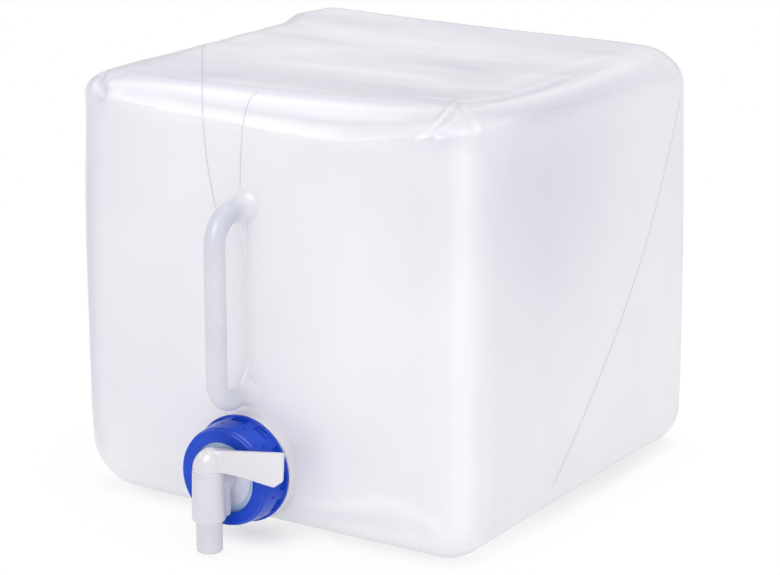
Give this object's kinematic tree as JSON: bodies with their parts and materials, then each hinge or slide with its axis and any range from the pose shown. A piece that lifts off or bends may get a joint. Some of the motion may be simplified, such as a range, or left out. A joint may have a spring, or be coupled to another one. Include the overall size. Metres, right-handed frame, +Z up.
{
  "type": "collapsible water carrier",
  "caption": "Soft moulded cube that folds flat when empty, with a hollow carry handle, a screw cap and a turning plug tap near the foot.",
  "frame": {"origin": "centre of the container's flat foot, on the floor", "axes": "+Z up; the face with the handle and the tap looks along -Y; +X to the right of someone who looks at that face"},
  "size_m": [0.286, 0.3387, 0.2615],
  "materials": {
    "film": "soft milky film, low gloss, faintly see-through",
    "milky_plastic": "smooth natural moulded plastic, milky",
    "blue_plastic": "satin moulded plastic, strong blue",
    "washer_rubber": "matte"
  },
  "bodies": {
    "container": {"front_wall": "film", "folding_walls": "film", "threaded_neck": "film", "carry_handle": "film"},
    "back": {"back_wall": "film"},
    "washer": {"flange_washer": "washer_rubber"},
    "cap": {"screw_cap": "blue_plastic"},
    "tap": {"tap_body": "milky_plastic"},
    "plug": {"tap_plug": "milky_plastic"}
  },
  "joints": [
    {"name": "collapse", "type": "slide", "parent": "container", "child": "back", "axis": [0, -1, 0], "range_m": [0, 0.25], "deforming": ["folding_walls"]},
    {"name": "cap_draw", "type": "slide", "parent": "container", "child": "washer", "axis": [0, -1, 0], "range_m": [0, 0.0151]},
    {"name": "cap_unscrew", "type": "hinge", "parent": "washer", "child": "cap", "pos_m": [-0.006, -0.141, 0.042], "axis": [0, -1, 0], "range_deg": [0, 1080]},
    {"name": "tap_swivel", "type": "hinge", "parent": "washer", "child": "tap", "pos_m": [-0.006, -0.141, 0.042], "axis": [0, 1, 0], "range_deg": [-40, 80]},
    {"name": "valve_turn", "type": "hinge", "parent": "tap", "child": "plug", "pos_m": [-0.006, -0.1848, 0.05], "axis": [0, 0, -1], "range_deg": [0, 110]}
  ],
  "couplings": [
    {"joint": "cap_draw", "follows": "cap_unscrew", "m_per_rad": 0.00079577}
  ]
}
